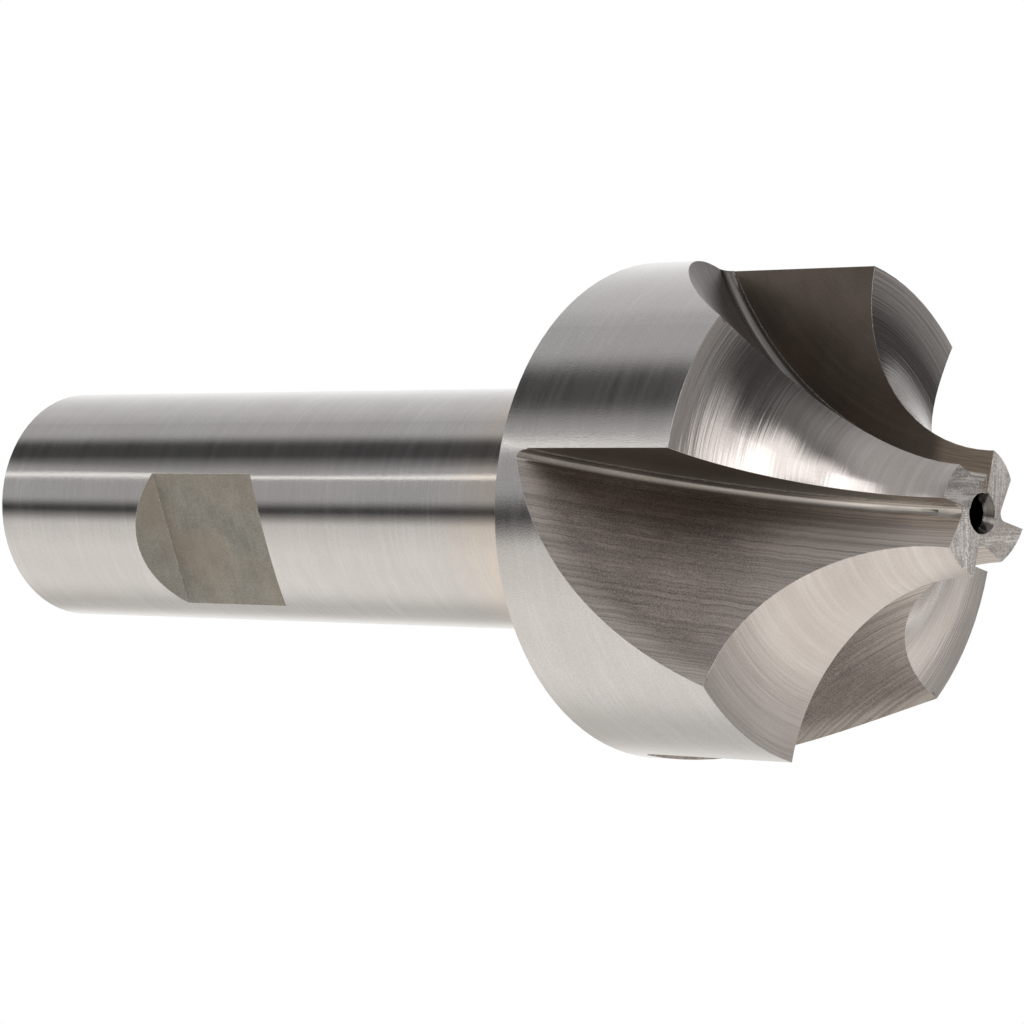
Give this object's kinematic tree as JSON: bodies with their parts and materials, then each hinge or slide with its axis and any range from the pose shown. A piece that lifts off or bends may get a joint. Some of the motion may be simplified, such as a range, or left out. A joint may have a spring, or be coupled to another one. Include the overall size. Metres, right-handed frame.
{
  "type": "corner rounding end mill",
  "caption": "Solid milling cutter with a round shank, a drive flat and a fluted head whose teeth have a concave quarter round, for rounding the outer edge of a workpiece.",
  "frame": {"origin": "centre of the shank's rear end, where the tool stands", "axes": "+Z along the tool's axis towards its nose, +X along the plane of the first cutting face"},
  "size_m": [0.038, 0.038, 0.1],
  "materials": {
    "ground_steel": "ground"
  },
  "bodies": {
    "root": {"end_mill": "ground_steel"}
  },
  "joints": []
}
